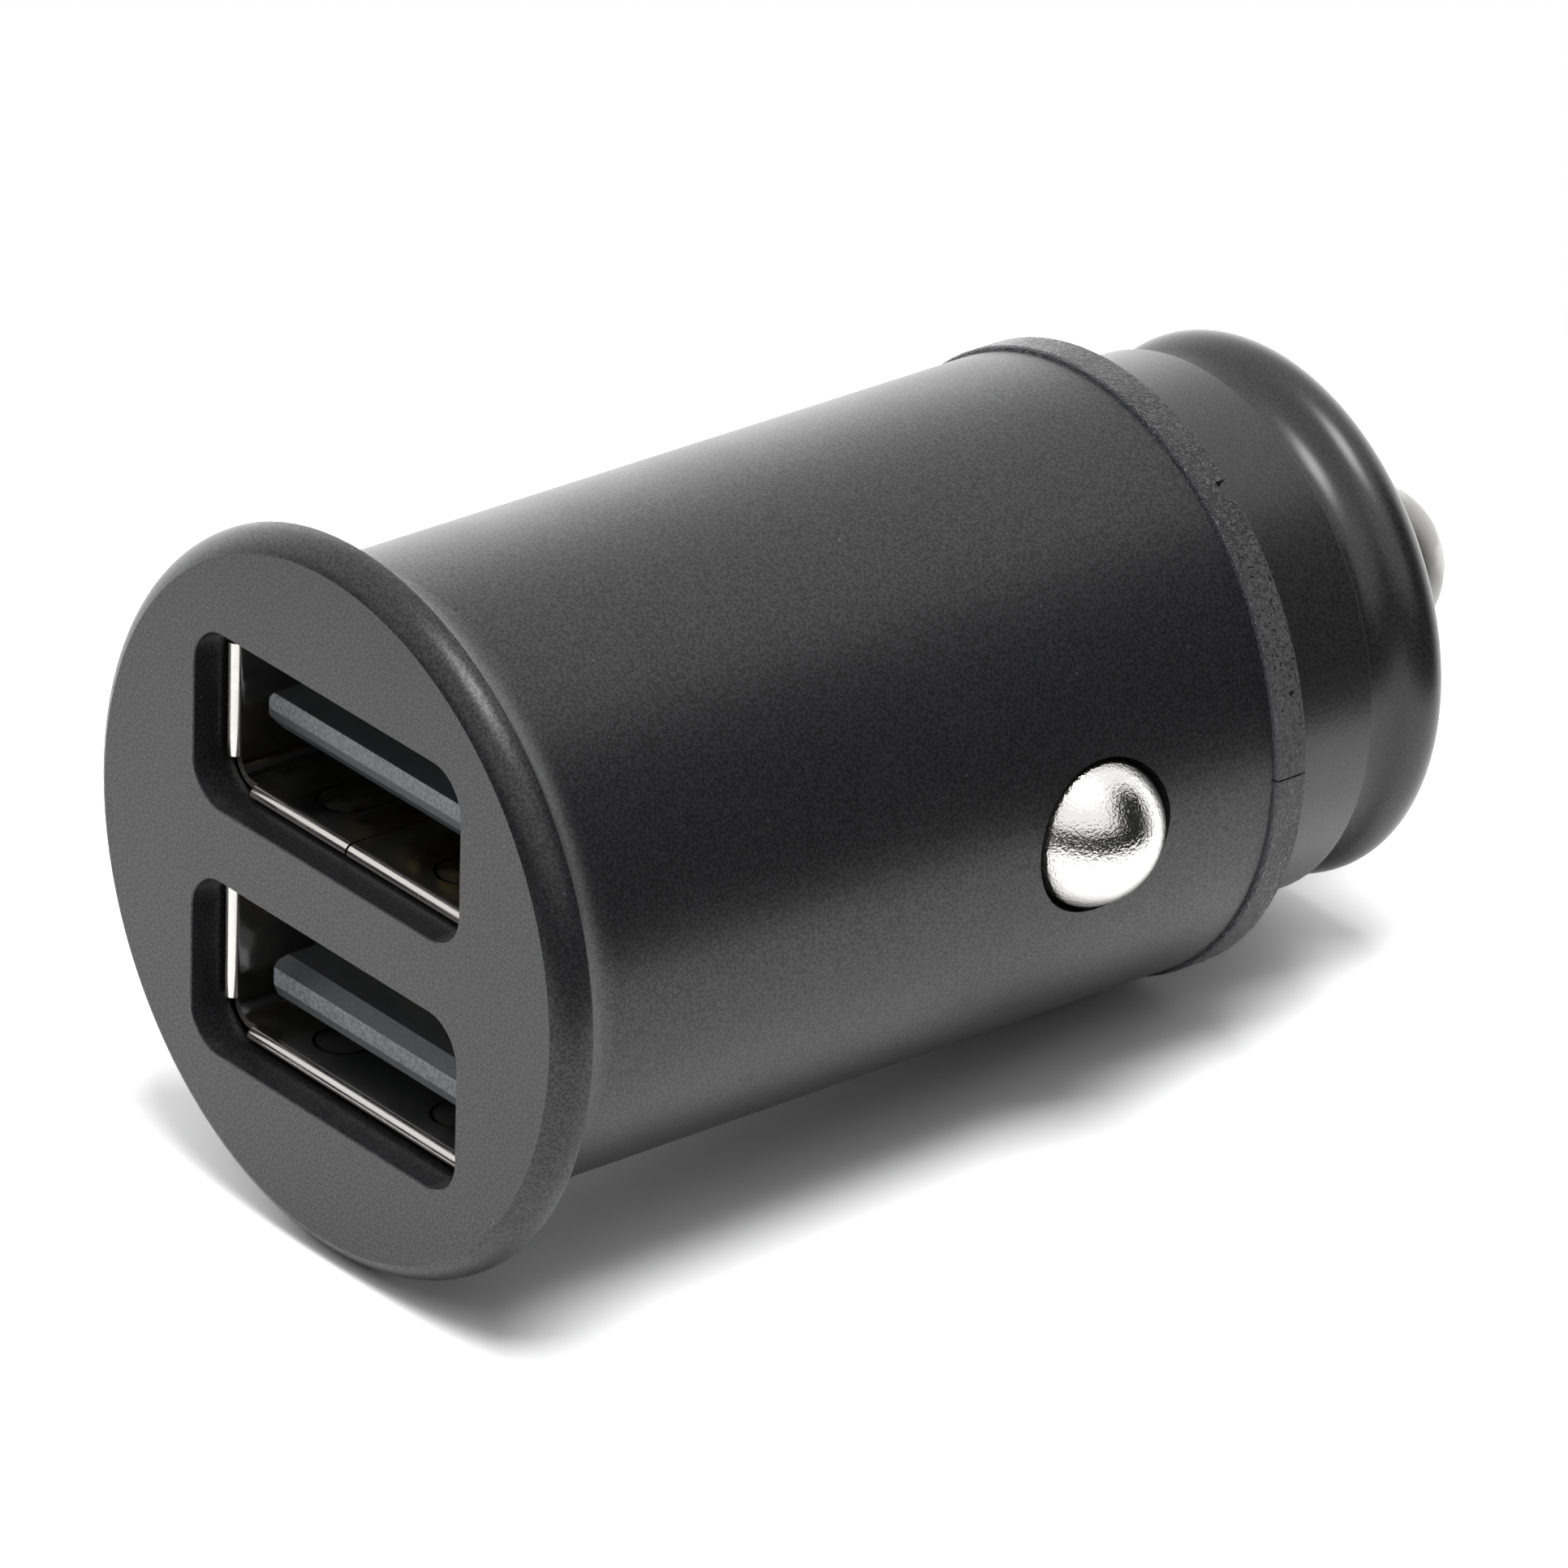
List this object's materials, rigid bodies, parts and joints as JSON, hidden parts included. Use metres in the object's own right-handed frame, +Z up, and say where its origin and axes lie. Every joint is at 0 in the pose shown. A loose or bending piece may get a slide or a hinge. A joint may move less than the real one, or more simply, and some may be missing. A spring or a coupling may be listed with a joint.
{
  "type": "car usb charger plug",
  "caption": "Round charger plug for a car's lighter socket: flanged black metal shell with usb ports in its face, moulded collar and nose, sprung centre pin and sprung side contacts.",
  "frame": {"origin": "centre of the front face, on the plug's axis", "axes": "+Y along the plug's axis from its face to its nose, +Z up with the ports' long sides level, +X to the right as seen from the front"},
  "size_m": [0.0242, 0.0443, 0.024],
  "materials": {
    "black_anodised": "bead-blasted, black anodised",
    "black_moulding": "spark-textured black moulding",
    "nickel_plate": "polished nickel plate",
    "nickel_sheet": "nickel-plated sheet",
    "spring_steel": "drawn wire",
    "brass_sheet": "stamped sheet",
    "gilt_terminals": "gold flash",
    "tongue_moulding": "satin moulding",
    "board_laminate": "green solder mask",
    "ferrite": "sintered, dull",
    "can_aluminium": "drawn can",
    "chip_resin": "moulded epoxy",
    "ceramic": "fired ceramic"
  },
  "bodies": {
    "housing": {"front_shell": "black_anodised", "carrier_upper": "black_moulding", "carrier_lower": "black_moulding", "nose_cap": "black_moulding", "centre_spring": "spring_steel", "side_spring_right": "spring_steel", "side_spring_left": "spring_steel", "pin_terminal": "brass_sheet", "ground_plate_right": "brass_sheet", "ground_plate_left": "brass_sheet", "usb_shell_upper": "nickel_sheet", "usb_shell_lower": "nickel_sheet", "usb_tongue_upper": "tongue_moulding", "usb_tongue_lower": "tongue_moulding", "usb_contacts_upper": "gilt_terminals", "usb_contacts_lower": "gilt_terminals", "circuit_board": "board_laminate", "power_inductor": "ferrite", "input_capacitor": "can_aluminium", "output_capacitor": "can_aluminium", "converter_chip": "chip_resin", "rectifier_diode": "chip_resin", "chip_parts": "ceramic"},
    "centre_pin": {"centre_pin": "nickel_plate"},
    "side_contact_right": {"side_contact_right": "nickel_plate"},
    "side_contact_left": {"side_contact_left": "nickel_plate"}
  },
  "joints": [
    {"name": "centre_pin_slide", "type": "slide", "parent": "housing", "child": "centre_pin", "axis": [0, -1, 0], "range_m": [0, 0.003], "stiffness_N_per_m": 1500, "springref_m": -0.002, "deforming": ["centre_spring"]},
    {"name": "side_contact_right_slide", "type": "slide", "parent": "housing", "child": "side_contact_right", "axis": [-1, 0, 0], "range_m": [0, 0.0018], "stiffness_N_per_m": 1500, "springref_m": -0.001, "deforming": ["side_spring_right"]},
    {"name": "side_contact_left_slide", "type": "slide", "parent": "housing", "child": "side_contact_left", "axis": [1, 0, 0], "range_m": [0, 0.0018], "stiffness_N_per_m": 1500, "springref_m": -0.001, "deforming": ["side_spring_left"]}
  ]
}
